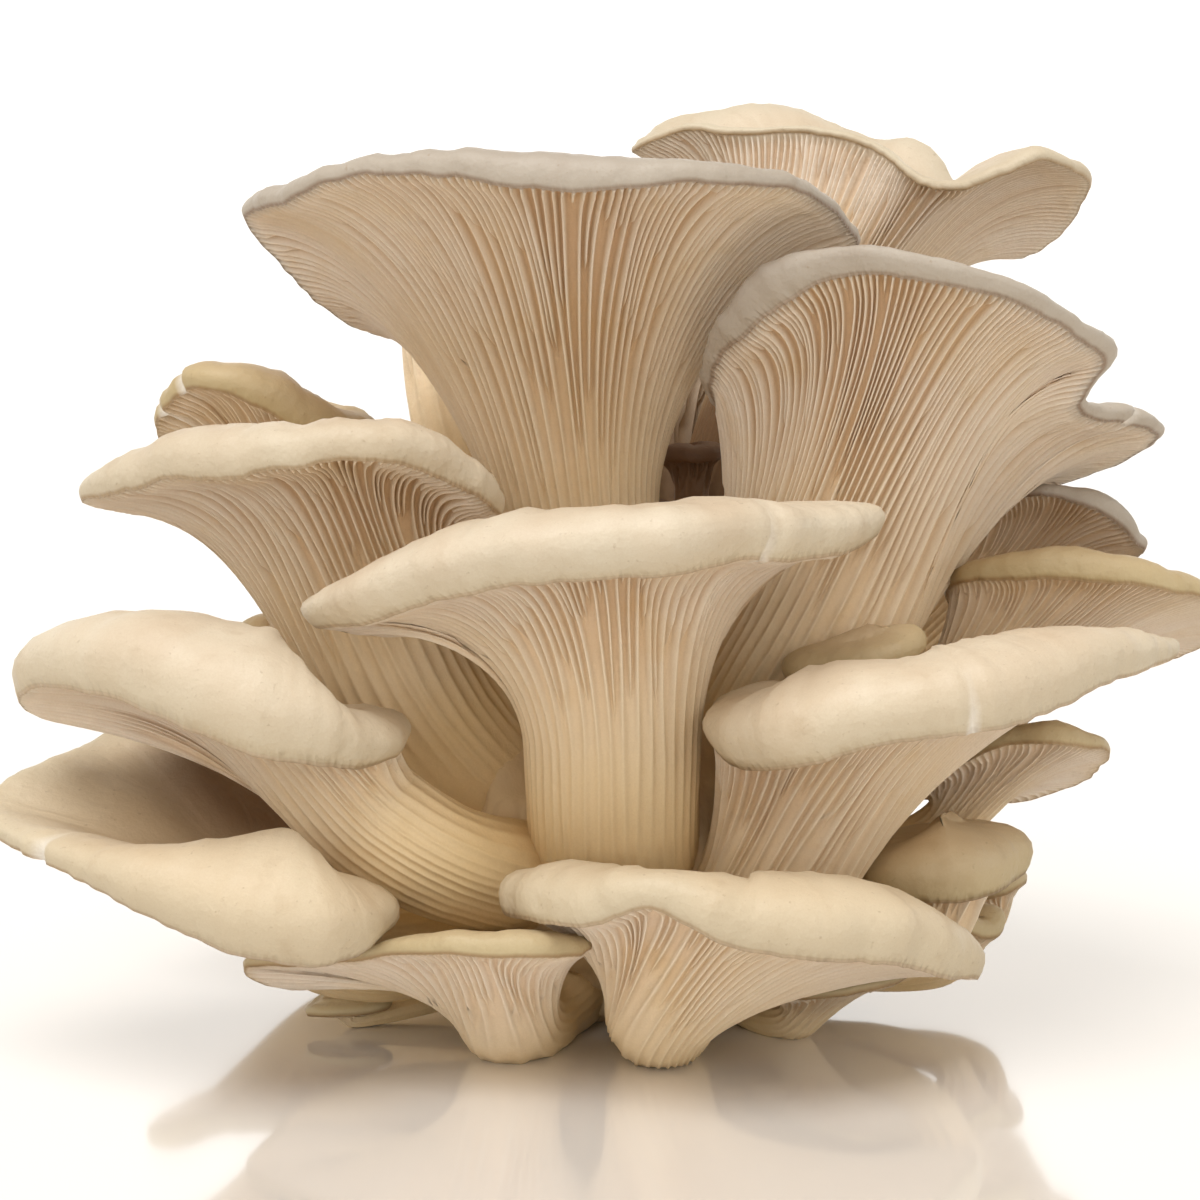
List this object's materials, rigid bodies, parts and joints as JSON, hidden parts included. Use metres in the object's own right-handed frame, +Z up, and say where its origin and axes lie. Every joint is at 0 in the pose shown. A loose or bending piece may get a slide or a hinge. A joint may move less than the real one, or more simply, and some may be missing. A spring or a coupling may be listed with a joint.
{
  "type": "oyster mushroom cluster",
  "caption": "Tiered cluster of oyster mushrooms with waved, gilled caps on flaring stems, grown from one lumpy common base with a flat cut underside.",
  "frame": {"origin": "centre of the base's flat cut face, on the surface that the cluster rests on", "axes": "+Z up, +X to the right as the cluster is seen from the front, +Y to its back"},
  "size_m": [0.2111, 0.173, 0.1505],
  "materials": {
    "stem_base": "matt, fibrous stem flesh",
    "cap_pale": "satin cream flesh",
    "cap_warm": "satin warm beige flesh",
    "cap_grey": "satin greyish beige flesh"
  },
  "bodies": {
    "root": {"common_base": "stem_base", "mushroom_top_left": "cap_grey", "mushroom_top_right": "cap_grey", "mushroom_front_centre": "cap_pale", "mushroom_mid_left": "cap_pale", "mushroom_back_left": "cap_warm", "mushroom_front_left": "cap_pale", "mushroom_low_left": "cap_pale", "mushroom_bottom_left": "cap_warm", "mushroom_bottom_right": "cap_pale", "mushroom_bottom_small": "cap_warm", "mushroom_front_right": "cap_pale", "mushroom_bud_right": "cap_warm", "mushroom_side_right": "cap_warm", "mushroom_side_right_back": "cap_grey", "mushroom_side_right_low": "cap_warm", "mushroom_low_right": "cap_warm", "mushroom_bud_low_1": "cap_warm", "mushroom_bud_low_2": "cap_warm", "mushroom_top_back": "cap_pale", "mushroom_back_tall": "cap_grey", "mushroom_bud_left": "cap_warm", "mushroom_bud_floor": "cap_warm", "bud_inner_1": "cap_grey", "bud_inner_2": "cap_grey", "mushroom_rear_mid": "cap_pale", "mushroom_rear_left": "cap_pale", "mushroom_rear_right": "cap_pale", "mushroom_rear_low": "cap_warm", "mushroom_left_low_back": "cap_warm"}
  },
  "joints": []
}
